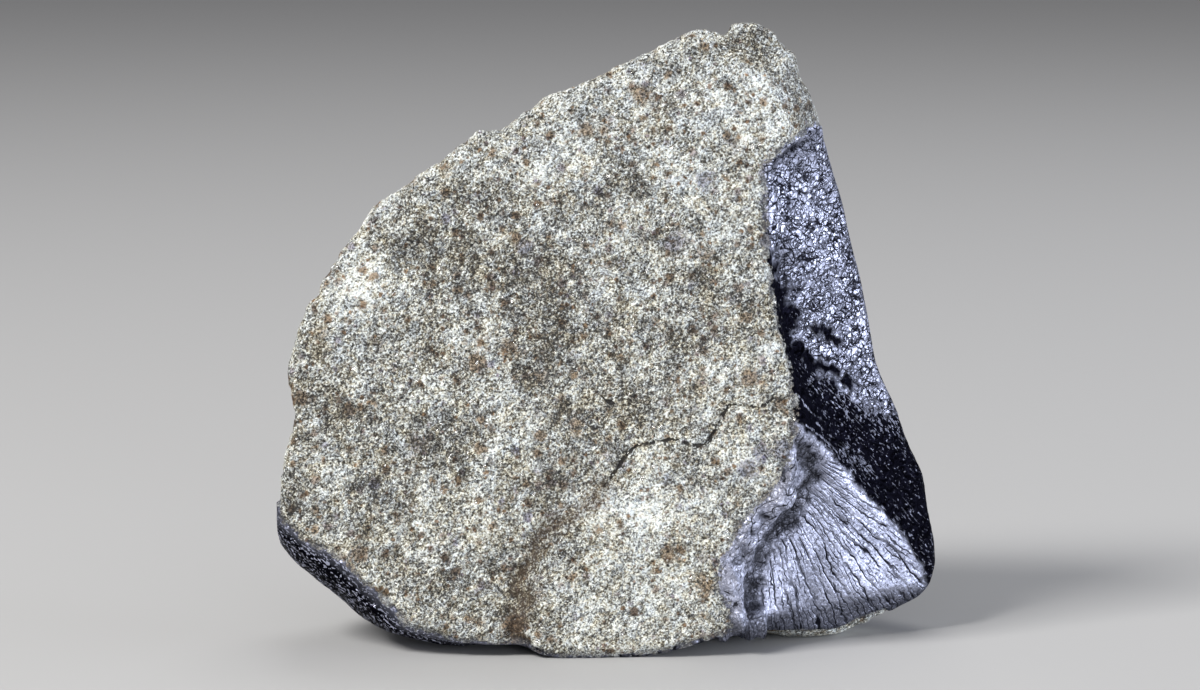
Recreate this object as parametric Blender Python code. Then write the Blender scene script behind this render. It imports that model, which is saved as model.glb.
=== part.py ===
"""Meteorite fragment: a stone about 53 mm across, broken open on one face and crusted on its other sides.

The stone is shaped in the frame of its broken face, in millimetres: +X to the right, +Z up along the face and
+Y into the stone. It is then leaned back, cut flat where it rests, and moved so that +Z is up, the broken
face looks along -Y, and the origin lies under the middle of the stone, on the surface that it stands on.
"""

import math

import bmesh
import bpy
import numpy as np
from mathutils import Vector, noise

MM = 0.001
FOOT_TOLERANCE = 0.001 * MM
NODE_NAME = "meteorite"

# Driving dimensions, in millimetres and degrees
FACE_DEPTH = -13.0
BACK_MIDDLE = (3.0, 15.5, 19.0)
LEAN_DEG = 8.0
FOOT_CUT = 0.55
SHAPING_VOXEL = 0.52
MOST_TRIANGLES = 9400
SHARP_DEG = 40.0

# The rim, once round from the tip and clockwise as seen from the front. Each station has a point on the edge
# of the broken face and the point behind it where that side turns to the back, as (x, depth, z).
TIP = [
    ((10.3, -12.0, 51.8), (10.2, -6.0, 50.4)),
    ((12.5, -11.6, 51.8), (12.3, -6.0, 50.3)),
    ((13.8, -11.0, 50.2), (13.8, -6.0, 49.2)),
    ((15.2, -10.6, 49.1), (15.3, -6.0, 48.1)),
    ((16.1, -10.0, 46.7), (16.4, -6.0, 46.2)),
    ((17.3, -9.4, 44.6), (17.5, -6.5, 44.2)),
]
RIGHT_CRUST = [
    ((17.2, -9.0, 43.3), (18.2, -5.5, 42.7)),
    ((15.3, -10.9, 41.9), (18.9, -4.5, 40.4)),
    ((13.1, -12.8, 39.9), (19.4, -4.0, 38.6)),
    ((13.1, -13.0, 37.0), (20.1, -3.5, 36.4)),
    ((13.3, -13.0, 33.0), (21.2, -3.0, 32.5)),
    ((14.0, -13.0, 29.0), (22.0, -2.5, 28.5)),
    ((15.0, -13.0, 24.1), (22.8, -2.0, 23.8)),
    ((15.6, -13.0, 19.8), (24.9, -1.5, 20.2)),
    ((15.3, -13.0, 17.0), (25.8, -1.5, 17.0)),
    ((13.6, -13.0, 13.7), (27.4, -1.5, 13.9)),
    ((12.1, -13.0, 12.0), (27.7, -1.5, 10.9)),
    ((11.0, -13.0, 10.3), (27.7, -2.0, 8.2)),
    ((9.5, -13.0, 7.7), (27.6, -2.5, 5.6)),
    ((9.3, -13.0, 5.7), (26.5, -3.0, 4.0)),
    ((10.2, -13.0, 3.9), (22.6, -3.5, 2.5)),
    ((10.7, -12.8, 2.7), (18.8, -3.5, 0.9)),
    ((10.3, -12.4, 2.2), (14.6, -2.5, 1.3)),
]
UNDERSIDE = [
    ((8.5, -12.8, 1.5), (10.4, 1.5, 2.7)),
    ((6.1, -12.8, 0.6), (7.2, 5.5, 3.1)),
    ((3.7, -12.8, 0.0), (4.0, 7.5, 2.7)),
    ((-0.3, -12.8, -0.1), (0.0, 8.5, 2.6)),
    ((-3.5, -12.8, 0.0), (-4.0, 7.5, 2.7)),
    ((-5.8, -12.8, 0.5), (-7.0, 6.0, 3.0)),
    ((-6.7, -12.8, 0.9), (-9.5, 4.0, 3.2)),
    ((-10.8, -12.8, 1.0), (-13.0, 0.5, 3.2)),
]
LOWER_LEFT_CRUST = [
    ((-15.6, -12.8, 2.2), (-16.4, -6.0, 2.2)),
    ((-16.8, -13.0, 3.7), (-19.4, -7.5, 3.2)),
    ((-19.2, -13.0, 6.0), (-21.6, -8.0, 5.1)),
    ((-21.6, -13.0, 8.3), (-24.0, -8.0, 6.8)),
    ((-23.6, -13.0, 9.2), (-26.0, -8.0, 8.5)),
    ((-26.4, -12.6, 11.1), (-27.0, -8.0, 10.5)),
]
LEFT_SIDE = [
    ((-26.6, -12.4, 12.4), (-25.9, -7.0, 13.0)),
    ((-26.0, -12.6, 14.6), (-25.1, -6.0, 15.0)),
    ((-25.6, -12.6, 16.6), (-24.7, -5.5, 17.0)),
    ((-24.9, -12.6, 19.3), (-24.2, -5.0, 19.6)),
    ((-25.7, -12.6, 22.9), (-24.6, -4.5, 22.9)),
    ((-25.0, -12.6, 25.6), (-23.9, -4.5, 25.4)),
    ((-24.3, -12.6, 28.0), (-22.8, -4.5, 27.7)),
    ((-22.7, -12.6, 31.0), (-21.0, -4.5, 30.6)),
    ((-21.3, -12.6, 33.4), (-19.4, -4.5, 32.7)),
    ((-18.4, -12.6, 37.0), (-16.6, -4.5, 35.7)),
]
UPPER_LEFT_BREAK = [
    ((-16.4, -12.8, 38.2), (-14.6, -3.5, 36.4)),
    ((-13.2, -12.8, 40.2), (-11.6, -3.0, 38.3)),
    ((-10.2, -12.8, 43.0), (-9.2, -3.0, 40.6)),
    ((-8.5, -12.8, 42.5), (-7.6, -3.0, 41.2)),
    ((-7.2, -12.8, 43.4), (-6.2, -3.0, 42.0)),
    ((-4.8, -12.8, 45.5), (-3.6, -3.0, 43.8)),
    ((-1.1, -12.8, 46.7), (-0.4, -3.5, 45.1)),
    ((2.9, -12.8, 49.0), (3.2, -4.0, 47.2)),
    ((7.7, -12.6, 50.5), (7.6, -5.0, 49.1)),
    ((9.6, -12.4, 50.7), (9.2, -5.5, 49.6)),
]
FACE_INSET = 0.88
FACE_MIDDLE = (-1.0, 25.0)
BACK_RINGS = 7

# Flats that the back was worn to in flight: a point on each one, and the way that it looks
BACK_FLATS = [
    ((8.0, -2.6, 47.5), (0.06, 0.80, 0.60)),
    ((3.0, 12.6, 24.0), (0.05, 0.97, 0.22)),
    ((-17.5, 3.0, 24.0), (-0.66, 0.74, 0.12)),
    ((21.8, 4.5, 20.0), (0.74, 0.66, 0.10)),
    ((-10.0, 7.5, 6.0), (-0.35, 0.66, -0.66)),
    ((11.0, 8.5, 5.5), (0.36, 0.66, -0.66)),
]
FLAT_CRISPNESS = 0.80

# The plate of rock right of and below the long crack stands proud of the face. Its edge, as (x, z), runs up
# its left side from the foot to the corner, and along the crack from there to the right.
PLATE_CORNER = (2.9, 17.2)
PLATE_LEFT = [(-6.8, -1.0), (-6.1, 4.8), (-4.8, 7.6), (-2.7, 10.4), (-0.3, 13.1)]
PLATE_TOP = [(6.9, 17.8), (9.5, 20.2), (13.4, 20.9), (17.0, 21.6)]
PLATE_RISE = 0.50
PLATE_RISE_AT_CRACK = 0.16
PLATE_STEP_WIDTH = 2.2
PLATE_FADE = 17.0
GUTTER_DEPTH = 0.40
GUTTER_DEPTH_AT_CRACK = 0.12
GUTTER_WIDTH = 5.0

# Low swells and hollows of the broken face: (x, z, radius, height towards the viewer)
FACE_SWELLS = [
    (-17.0, 16.0, 9.0, 0.55), (-4.0, 33.0, 10.0, 0.50), (9.0, 29.0, 8.0, -0.55), (-2.0, 21.5, 6.0, -0.70),
    (-13.0, 29.0, 7.0, -0.40), (7.0, 42.0, 6.0, 0.35), (5.0, 7.5, 6.0, 0.40), (-9.0, 6.5, 5.0, -0.45),
    (12.0, 13.8, 2.2, -0.55), (-19.5, 33.0, 4.0, -0.35),
]

# How squarely a surface looks at the viewer where the relief of the face starts, and where all of it is there
RELIEF_LOOKS = (0.35, 0.75)

# Folds of the crust lobe at the lower right and the trough above it: height, radius and points of the line
CRUST_FOLDS = {
    "lip_by_the_face": (0.35, 1.7, [(15.3, -12.6, 15.6), (13.2, -12.2, 11.4), (11.3, -12.2, 7.0)]),
    "valley_behind_the_lip": (-0.65, 2.2, [(16.4, -11.8, 15.8), (15.3, -11.0, 11.5), (13.0, -11.0, 4.5)]),
    "second_valley": (-0.35, 1.8, [(17.6, -11.0, 14.5), (18.0, -9.5, 9.5), (17.4, -8.0, 4.0)]),
    "crest_of_the_lobe": (0.45, 2.2, [(16.2, -12.4, 17.6), (20.4, -8.6, 14.4), (26.8, -3.2, 8.6)]),
    "trough_above": (-0.95, 3.6, [(14.6, -12, 31.0), (16.8, -10.6, 23.5), (20.2, -7.4, 17.6), (26.4, -3, 11.8)]),
}

# How far to the right a surface looks where the folds start, and where all of them are there
FOLD_LOOKS = (0.10, 0.40)

# Thumbprint hollows melted into the crust: where each lies as seen from behind (x, z), its radius and depth
THUMBPRINTS = [
    (-10.5, 27.5, 6.6, 1.20), (0.5, 33.0, 6.2, 1.05), (10.5, 27.0, 6.8, 1.20), (-0.5, 22.5, 6.4, 1.25),
    (-13.0, 17.5, 6.0, 1.10), (12.0, 16.0, 6.4, 1.15), (-0.5, 12.5, 6.2, 1.10), (9.0, 37.5, 5.8, 0.95),
    (-20.5, 23.0, 5.2, 0.85), (20.5, 20.5, 5.6, 0.85), (-9.5, 8.5, 4.8, 0.80), (19.0, 30.0, 5.0, 0.75),
    (12.0, 45.0, 4.4, 0.55), (-2.5, 40.5, 4.2, 0.60), (18.5, 9.5, 4.6, 0.75), (-21.0, 12.5, 4.4, 0.70),
]
SEAT_SEARCH = 1.5
FAR = 1e9

# Rounds of smoothing that melted the body behind the rim, and then the thumbprints
BODY_ROUNDS = 34
CRUST_ROUNDS = 7
MELT_START_DEPTH = -11.8
MELT_FULL_DEPTH = -9.0

# Bites out of the rim: centre as (x, depth, z), radius and depth
CHIPS = [
    ((-8.3, -12.6, 43.2), 1.5, 0.55), ((9.5, -12.4, 51.3), 1.0, 0.45), ((-6.7, -12.9, 0.8), 1.4, 0.50),
    ((16.9, -10.5, 47.2), 1.6, 0.35), ((2.5, -4.0, 47.6), 3.0, 0.80), ((-13.0, -3.0, 37.6), 3.2, 0.70),
    ((13.4, -13.2, 12.9), 1.3, 0.60),
]

# Lumps all over: (size, height on the broken rock, height on the crust)
LUMPS = [(9.0, 0.50, 0.40), (3.6, 0.34, 0.12), (1.7, 0.16, 0.03)]
LUMP_SEEDS = [(31.7, 4.1, 17.9), (5.3, 61.2, 8.8), (12.6, 33.3, 71.5)]

BROKEN_ROCK = {"name": "broken_rock", "color": (0.34, 0.335, 0.305, 1.0), "roughness": 0.85}
FUSION_CRUST = {"name": "fusion_crust", "color": (0.012, 0.012, 0.014, 1.0), "roughness": 0.32}

# Where the surface is broken rock: squarely on the face, and back to a depth along the upper left break, which
# starts at its left end and stays above a line that slopes down to the right
ROCK_LOOKS = (0.78, 0.90)
BREAK_BACK_DEPTH = -4.0
BREAK_EDGE_WIDTH = 0.8
BREAK_LEFT_END = (-17.6, 37.4)
BREAK_SLOPE = 0.45
BREAK_LOWEST = 36.0
CRUST_TOP = 43.7


def clear_scene():
    for old in list(bpy.data.objects):
        bpy.data.objects.remove(old, do_unlink=True)


def ramp(values, none, full):
    """0 up to one value and 1 past the other, with an eased step between. It may run downwards."""
    t = np.clip((values - none) / (full - none), 0.0, 1.0)
    return t * t * (3.0 - 2.0 * t)


def toward(point, middle, share):
    return tuple(p + (m - p) * share for p, m in zip(point, middle))


def outline_rings():
    """The rings of the loft from the middle of the broken face over the rim to the back, as (x, depth, z)."""
    rim = TIP + RIGHT_CRUST + UNDERSIDE + LOWER_LEFT_CRUST + LEFT_SIDE + UPPER_LEFT_BREAK
    edge = [front for front, _ in rim]
    turn = [side for _, side in rim]
    face_middle = (FACE_MIDDLE[0], FACE_DEPTH, FACE_MIDDLE[1])
    inner = [toward(p, face_middle, 1.0 - FACE_INSET) for p in edge]
    rings = [[(x, FACE_DEPTH, z) for x, _, z in inner], edge, turn]
    for step in range(1, BACK_RINGS):
        angle = 0.5 * math.pi * step / BACK_RINGS
        inward, deeper = 1.0 - math.cos(angle), math.sin(angle)
        ring = []
        for x, y, z in turn:
            ring.append(
                (
                    x + (BACK_MIDDLE[0] - x) * inward,
                    y + (BACK_MIDDLE[1] - y) * deeper,
                    z + (BACK_MIDDLE[2] - z) * inward,
                )
            )
        rings.append(ring)
    return face_middle, rings


def loft_body():
    """The plain body: the rings bridged one to the next, and closed at the face and at the back."""
    face_middle, rings = outline_rings()
    bm = bmesh.new()
    loops = [[bm.verts.new(Vector(p) * MM) for p in ring] for ring in rings]
    ends = [bm.verts.new(Vector(face_middle) * MM), bm.verts.new(Vector(BACK_MIDDLE) * MM)]
    count = len(rings[0])
    for near, far in zip(loops, loops[1:]):
        for i in range(count):
            j = (i + 1) % count
            bm.faces.new((near[i], near[j], far[j], far[i]))
    for i in range(count):
        j = (i + 1) % count
        bm.faces.new((ends[0], loops[0][j], loops[0][i]))
        bm.faces.new((ends[1], loops[-1][i], loops[-1][j]))
    bmesh.ops.recalc_face_normals(bm, faces=bm.faces)
    mesh = bpy.data.meshes.new(NODE_NAME)
    bm.to_mesh(mesh)
    bm.free()
    stone = bpy.data.objects.new(NODE_NAME, mesh)
    bpy.context.collection.objects.link(stone)
    return stone


def apply_modifiers(stone):
    """Replaces the mesh by what its modifiers make of it."""
    graph = bpy.context.evaluated_depsgraph_get()
    made = bpy.data.meshes.new_from_object(stone.evaluated_get(graph))
    stone.modifiers.clear()
    stone.data = made


def remesh(stone, size):
    modifier = stone.modifiers.new("even_faces", "REMESH")
    modifier.mode = "VOXEL"
    modifier.voxel_size = size * MM
    apply_modifiers(stone)


def read_points(mesh):
    """The vertices and their normals, in millimetres."""
    points = np.empty(len(mesh.vertices) * 3, np.float32)
    mesh.vertices.foreach_get("co", points)
    normals = np.empty(len(mesh.vertices) * 3, np.float32)
    mesh.vertices.foreach_get("normal", normals)
    return points.reshape(-1, 3).astype(float) / MM, normals.reshape(-1, 3).astype(float)


def write_points(mesh, points):
    mesh.vertices.foreach_set("co", (points * MM).astype(np.float32).ravel())
    mesh.update()


def flatten_back(points):
    """Presses what stands outside each flat of the back down onto it."""
    for seat, facing in BACK_FLATS:
        facing = np.array(facing) / np.linalg.norm(facing)
        proud = np.maximum((points - np.array(seat)) @ facing, 0.0)
        points -= np.outer(proud * FLAT_CRISPNESS, facing)


def along_path(places, path):
    """For each place, its distance to a path and, on a flat path, its side: positive to the right."""
    path = np.array(path, float)
    nearest = np.full(len(places), FAR)
    side = np.zeros(len(places))
    for start, end in zip(path, path[1:]):
        run = end - start
        share = np.clip((places - start) @ run / (run @ run), 0.0, 1.0)
        gap = places - (start + share[:, None] * run)
        distance = np.linalg.norm(gap, axis=1)
        closer = distance < nearest
        nearest = np.where(closer, distance, nearest)
        if path.shape[1] == 2:
            turn = run[1] * gap[:, 0] - run[0] * gap[:, 1]
            side = np.where(closer, np.sign(turn), side)
    return nearest, side


def shape_broken_face(points, normals):
    """Swells, the proud plate and the gutter beside it, moved towards or away from the viewer."""
    facing = ramp(-normals[:, 1], *RELIEF_LOOKS)
    seen = points[:, [0, 2]]
    rise = np.zeros(len(points))
    for x, z, radius, height in FACE_SWELLS:
        rise += height * ramp(np.linalg.norm(seen - (x, z), axis=1), radius, 0.0)
    distance, side = along_path(seen, PLATE_LEFT + [PLATE_CORNER] + PLATE_TOP)
    inside = distance * side
    half_step = PLATE_STEP_WIDTH / 2
    plate = ramp(inside, -half_step, half_step) * ramp(inside, PLATE_FADE, 0.0)
    gutter = ramp(inside, -GUTTER_WIDTH, 0.0) * ramp(inside, 0.0, -PLATE_STEP_WIDTH)
    to_crack = ramp(seen[:, 1], 0.0, PLATE_CORNER[1])
    plate_rise = PLATE_RISE + (PLATE_RISE_AT_CRACK - PLATE_RISE) * to_crack
    gutter_depth = GUTTER_DEPTH + (GUTTER_DEPTH_AT_CRACK - GUTTER_DEPTH) * to_crack
    rise += plate_rise * plate - gutter_depth * gutter
    points[:, 1] -= rise * facing


def shape_crust_side(points, normals):
    """The folds and the trough of the crust to the right of the broken face."""
    to_right = ramp(normals[:, 0], *FOLD_LOOKS)
    for height, radius, line in CRUST_FOLDS.values():
        distance, _ = along_path(points, line)
        points += normals * (height * ramp(distance, radius, 0.0) * to_right)[:, None]


def press_dent(points, normals, seat, radius, depth):
    distance = np.linalg.norm(points - seat, axis=1)
    points -= normals * (depth * ramp(distance, radius, 0.0))[:, None]


def press_thumbprints(points, normals):
    """Bowls seated on the rearmost point behind each place. Where two meet, they leave a soft ridge."""
    deepest = np.zeros(len(points))
    for x, z, radius, depth in THUMBPRINTS:
        near = np.linalg.norm(points[:, [0, 2]] - (x, z), axis=1) < SEAT_SEARCH
        seat = points[np.where(near, points[:, 1], -FAR).argmax()]
        reach = np.linalg.norm(points - seat, axis=1) / radius
        deepest = np.maximum(deepest, depth * (1.0 - reach**2))
    points -= normals * deepest[:, None]


def melt(stone, rounds):
    """Rounds what lies behind the rim. The rim itself and the broken face keep their edges."""
    points, _ = read_points(stone.data)
    shares = ramp(points[:, 1], MELT_START_DEPTH, MELT_FULL_DEPTH)
    group = stone.vertex_groups.new(name="behind_the_rim")
    for index, share in enumerate(shares):
        group.add([index], share, "REPLACE")
    modifier = stone.modifiers.new("melted_edges", "SMOOTH")
    modifier.factor = 0.5
    modifier.iterations = rounds
    modifier.vertex_group = group.name
    apply_modifiers(stone)
    stone.vertex_groups.clear()


def raise_lumps(points, normals, on_rock):
    """Noise in three sizes, coarser on the broken rock than on the crust."""
    for (size, rock_height, crust_height), seed in zip(LUMPS, LUMP_SEEDS):
        shift = Vector(seed)
        wave = np.array([noise.noise(Vector(p) / size + shift) for p in points])
        height = crust_height + (rock_height - crust_height) * on_rock
        points += normals * (wave * height)[:, None]


def rock_share(points, normals):
    """1 on the broken rock, 0 on the crust: the face, the tip and the break along the upper left edge."""
    face = ramp(-normals[:, 1], *ROCK_LOOKS)
    crust_edge = [(front[0], front[2]) for front, _ in RIGHT_CRUST]
    _, side = along_path(points[:, [0, 2]], crust_edge)
    over_crust = (side < 0.0) & (points[:, 2] < CRUST_TOP)
    left, low = BREAK_LEFT_END
    above = (points[:, 2] - low) + BREAK_SLOPE * (points[:, 0] - left) > 0.0
    upper = above & (points[:, 2] > BREAK_LOWEST)
    ahead = ramp(points[:, 1], BREAK_BACK_DEPTH, BREAK_BACK_DEPTH - BREAK_EDGE_WIDTH)
    share = np.maximum(face, np.where(upper, ahead, 0.0))
    return np.where(over_crust, 0.0, share)


def carve(stone):
    """All the shaping that moves the vertices of the even mesh."""
    points, _ = read_points(stone.data)
    flatten_back(points)
    write_points(stone.data, points)
    melt(stone, BODY_ROUNDS)
    points, normals = read_points(stone.data)
    shape_crust_side(points, normals)
    press_thumbprints(points, normals)
    write_points(stone.data, points)
    melt(stone, CRUST_ROUNDS)
    points, normals = read_points(stone.data)
    shape_broken_face(points, normals)
    for seat, radius, depth in CHIPS:
        press_dent(points, normals, np.array(seat), radius, depth)
    raise_lumps(points, normals, rock_share(points, normals))
    write_points(stone.data, points)


def decimate(stone):
    modifier = stone.modifiers.new("fewer_faces", "DECIMATE")
    modifier.use_collapse_triangulate = True
    modifier.ratio = MOST_TRIANGLES / (2.0 * len(stone.data.polygons))
    apply_modifiers(stone)


def stand_on_foot(stone):
    """Leans the stone back, cuts it flat at its lowest part and sets the origin under its middle."""
    bm = bmesh.new()
    bm.from_mesh(stone.data)
    lean = math.radians(LEAN_DEG)
    for vert in bm.verts:
        x, y, z = vert.co
        vert.co = (x, y * math.cos(lean) + z * math.sin(lean), z * math.cos(lean) - y * math.sin(lean))
    floor = min(v.co.z for v in bm.verts) + FOOT_CUT * MM
    everything = bm.verts[:] + bm.edges[:] + bm.faces[:]
    cut = bmesh.ops.bisect_plane(
        bm, geom=everything, plane_co=(0, 0, floor), plane_no=(0, 0, 1), clear_inner=True
    )
    rim = [e for e in cut["geom_cut"] if isinstance(e, bmesh.types.BMEdge)]
    bmesh.ops.triangle_fill(bm, edges=rim, use_beauty=True, normal=(0, 0, -1))
    bmesh.ops.triangulate(bm, faces=bm.faces)
    low = [min(v.co[i] for v in bm.verts) for i in range(3)]
    high = [max(v.co[i] for v in bm.verts) for i in range(3)]
    shift = Vector(((low[0] + high[0]) / 2, (low[1] + high[1]) / 2, floor))
    for vert in bm.verts:
        vert.co -= shift
        if abs(vert.co.z) < FOOT_TOLERANCE:
            vert.co.z = 0.0
    bm.to_mesh(stone.data)
    bm.free()


def make_material(look):
    material = bpy.data.materials.new(look["name"])
    material.use_nodes = True
    shader = material.node_tree.nodes["Principled BSDF"]
    shader.inputs["Base Color"].default_value = look["color"]
    shader.inputs["Roughness"].default_value = look["roughness"]
    shader.inputs["Metallic"].default_value = 0.0
    material.diffuse_color = look["color"]
    return material


def colour_faces(stone):
    """Crust on every face but those of the broken rock, told apart before the stone is leaned back."""
    points, normals = read_points(stone.data)
    share = rock_share(points, normals)
    for look in (FUSION_CRUST, BROKEN_ROCK):
        stone.data.materials.append(make_material(look))
    for face in stone.data.polygons:
        face.material_index = int(share[list(face.vertices)].mean() > 0.5)


def main():
    clear_scene()
    stone = loft_body()
    remesh(stone, SHAPING_VOXEL)
    carve(stone)
    decimate(stone)
    colour_faces(stone)
    stand_on_foot(stone)
    stone.data.shade_smooth()
    stone.data.set_sharp_from_angle(angle=math.radians(SHARP_DEG))
    stone.data.name = NODE_NAME


main()
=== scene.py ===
"""Meteorite fragment: the fine surface and finish of the stone, and the stage that it stands on.

The stone's own frame has +Z up. Its features are placed in the frame of its broken face, in millimetres:
x to the right, depth into the stone and height up along the face, which leans back by LEAN_DEG.
"""

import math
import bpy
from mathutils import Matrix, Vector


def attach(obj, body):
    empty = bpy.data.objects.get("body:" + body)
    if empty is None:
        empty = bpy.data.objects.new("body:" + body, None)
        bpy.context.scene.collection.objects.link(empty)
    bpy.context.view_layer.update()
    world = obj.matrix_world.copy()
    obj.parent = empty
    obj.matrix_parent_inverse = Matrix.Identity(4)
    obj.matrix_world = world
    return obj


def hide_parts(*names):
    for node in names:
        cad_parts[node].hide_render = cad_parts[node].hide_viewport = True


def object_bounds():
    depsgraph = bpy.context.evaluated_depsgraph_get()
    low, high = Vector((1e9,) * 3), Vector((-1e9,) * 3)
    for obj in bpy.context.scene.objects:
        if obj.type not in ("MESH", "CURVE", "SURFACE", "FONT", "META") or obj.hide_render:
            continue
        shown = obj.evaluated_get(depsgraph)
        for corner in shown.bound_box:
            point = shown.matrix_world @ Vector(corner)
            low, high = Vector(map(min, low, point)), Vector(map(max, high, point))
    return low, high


bl_info = {
    "name": "Meteorite Fragment",
    "version": (1, 0, 0),
    "blender": (4, 5, 0),
    "location": "View3D > Sidebar > Meteorite",
    "description": "A meteorite fragment with a broken face and a melted crust, on a plain stage",
    "category": "Object",
}

from functools import partial

import bpy
import numpy as np
from mathutils import Vector, kdtree, noise

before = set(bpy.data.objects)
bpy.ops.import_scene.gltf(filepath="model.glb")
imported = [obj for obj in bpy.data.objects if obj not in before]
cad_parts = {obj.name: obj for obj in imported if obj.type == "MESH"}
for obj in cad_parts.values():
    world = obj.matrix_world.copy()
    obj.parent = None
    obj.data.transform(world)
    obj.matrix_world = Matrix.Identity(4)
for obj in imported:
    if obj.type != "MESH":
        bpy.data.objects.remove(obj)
CAD_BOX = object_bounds()

MM = 0.001
NODE = "meteorite"
STONE = "meteorite_stone"

# The face frame: how far it leans back, where the stone's origin lies in it before it leans, and the depth of
# the broken face
LEAN_DEG = 8.0
FACE_SHIFT = (0.55, 1.79, 1.78)
FACE_DEPTH = -13.0

# The picture that the camera takes: its width in pixels, the pixels of a millimetre on the face, and its
# middle as (x, height)
PICTURE_WIDTH = 1200
PIXELS_PER_MM = 12.4
PICTURE_MIDDLE = (-0.3, 25.3)

# Edges of the crust on the face, from top to bottom, as (x, height)
RIGHT_EDGE = [
    (17.4, 43.3), (15.4, 41.9), (13.0, 39.8), (13.1, 37.0), (13.2, 33.0), (14.0, 29.0), (15.0, 24.1),
    (15.6, 19.3), (15.2, 16.5), (13.6, 13.6), (12.0, 12.0), (11.0, 10.4), (9.5, 7.6), (9.3, 5.6),
    (10.4, 3.8), (10.4, 2.2),
]
LOWER_LEFT_EDGE = [(-26.3, 11.2), (-23.7, 9.2), (-21.7, 8.4), (-19.3, 6.0), (-16.8, 3.8), (-15.8, 2.2)]

# The face is what looks forwards by at least so much. The break along the upper left edge goes back to a
# depth, above a line through its left end.
FACE_LOOKS = 0.30
BREAK_BACK_DEPTH = -4.0
BREAK_LEFT_END = (-17.6, 37.4)
BREAK_SLOPE = 0.45
BREAK_LOWEST = 36.0

# The rock also reaches back along the left edge, above the lower left crust: how deep, as (height, depth)
LEFT_RIM_X = -14.0
LEFT_RIM_LOWEST = 12.6
LEFT_RIM = [(23.0, -7.9), (37.0, -4.0)]

# Noise that makes these limits of the rock wavy, as (size, reach)
WAVES_OF_LIMITS = ((4.0, 0.9), (1.6, 0.4))

# The long crack, from its lower left end to the crust, a short one above it, and the side of the proud plate
# below it, as (x, height)
SHORT_CRACK = [(-0.5, 21.5), (0.1, 20.9), (0.7, 20.6)]
CRACK = [
    (0.1, 13.9), (1.0, 15.2), (1.5, 16.0), (1.9, 16.5), (2.6, 17.2), (3.5, 17.4), (4.4, 17.5), (5.3, 17.7),
    (6.0, 17.7), (6.8, 17.3), (7.7, 17.2), (8.3, 17.4), (8.7, 18.0), (9.2, 18.7), (9.6, 19.7), (10.2, 20.5),
    (11.1, 20.5), (12.0, 20.3), (13.0, 20.5), (13.7, 21.0),
]
PLATE_SIDE = [
    (0.1, 13.9), (-1.5, 12.4), (-3.5, 11.0), (-5.0, 9.8), (-5.7, 8.5), (-6.0, 7.8), (-6.7, 6.7), (-6.9, 5.5),
    (-6.3, 4.5), (-6.7, 3.7), (-7.0, 2.6), (-6.8, 1.0),
]

# Darker and lighter patches of the broken face, as (x, height, radius, tone)
PATCHES = [
    (-5.4, 30.6, 3.0, -0.7), (-3.6, 25.0, 2.6, -0.5), (1.0, 21.9, 2.2, -0.3), (-4.1, 18.7, 2.6, -0.6),
    (-16.7, 25.2, 2.8, -0.8), (-12.4, 17.7, 2.8, -0.6), (-6.2, 14.8, 2.0, -0.5), (-9.4, 6.6, 3.2, -1.1),
    (8.0, 27.3, 2.4, -0.5), (0.7, 38.6, 2.2, -0.5), (6.5, 49.5, 2.0, -0.5), (-18.9, 29.0, 3.0, 0.9),
    (2.1, 44.3, 2.4, 0.8), (9.8, 43.6, 3.2, 0.8), (-5.2, 39.4, 3.2, 0.7), (11.6, 24.0, 2.2, 0.7),
    (3.2, 13.2, 3.4, 1.0), (7.0, 12.6, 2.4, 0.8), (-2.2, 4.8, 3.2, 0.7),
    # The dark patches at (12.6, 49.3), (16.2, 46.6) and (16.0, 44.0) are partly darker rock and partly
    # painted shade. They darken the tip and its right side where the light from the right falls.
    (3.6, 6.6, 4.0, 0.8), (12.6, 49.3, 2.2, -1.3), (10.6, 45.6, 2.0, 0.6),
    (16.2, 46.6, 1.8, -1.1), (16.0, 44.0, 1.4, -0.8), (10.6, 50.8, 1.6, -0.8),
]

# Lumps and notches of the tip's outline, as (x, height, radius, rise)
TIP_LUMPS = [
    (11.6, 51.2, 1.3, 0.35), (13.6, 50.2, 1.3, 0.85), (15.3, 48.6, 1.1, 0.55), (8.0, 50.2, 1.5, 0.65),
    (5.6, 49.4, 1.6, 0.45), (9.8, 50.6, 0.5, -0.35),
]

# The crust lobe at the lower right: the root and radius of its fan of flow lines, the crest that bounds it,
# the valley between it and the lip beside the face, the middle of its crumpled upper end, and its hollows as
# (x, height, radius, depth)
FAN_ROOT = (12.1, 18.5)
FAN_RADIUS = 10.0
FAN_CREST = [
    (14.0, 19.9), (15.6, 19.0), (17.6, 17.3), (18.4, 16.5), (20.2, 14.5), (21.6, 12.8), (23.1, 11.3),
    (24.2, 10.2), (25.6, 8.2), (26.4, 6.4), (28.0, 3.0),
]
LOBE_VALLEY = [
    (15.5, 17.4), (16.7, 16.1), (17.0, 14.6), (16.2, 13.1), (15.7, 12.0), (14.8, 10.6), (13.5, 9.5),
    (12.9, 8.0), (12.4, 6.6), (12.0, 5.0), (11.8, 3.4),
]
ROOT_MIDDLE = (16.4, 17.5)
HOLLOWS = [(14.5, 14.9, 0.9, 0.50)]

# Under the lobe: the rim of rock as (x, height) and how deep it reaches, the line below which the lobe is
# dull, and the x left of which, or else the height above which, the lip may stand
FOOT_RIM = [
    (12.0, 2.2), (14.0, 2.1), (16.2, 1.95), (18.8, 1.95), (19.8, 2.2), (21.1, 2.9), (22.4, 3.35), (23.6, 3.6),
]
FOOT_RIM_DEPTH = 4.0
FAN_FOOT = 3.3
FOOT_SLOPE = 0.135
LIP_FOOT = (13.5, 5.0)

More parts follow.
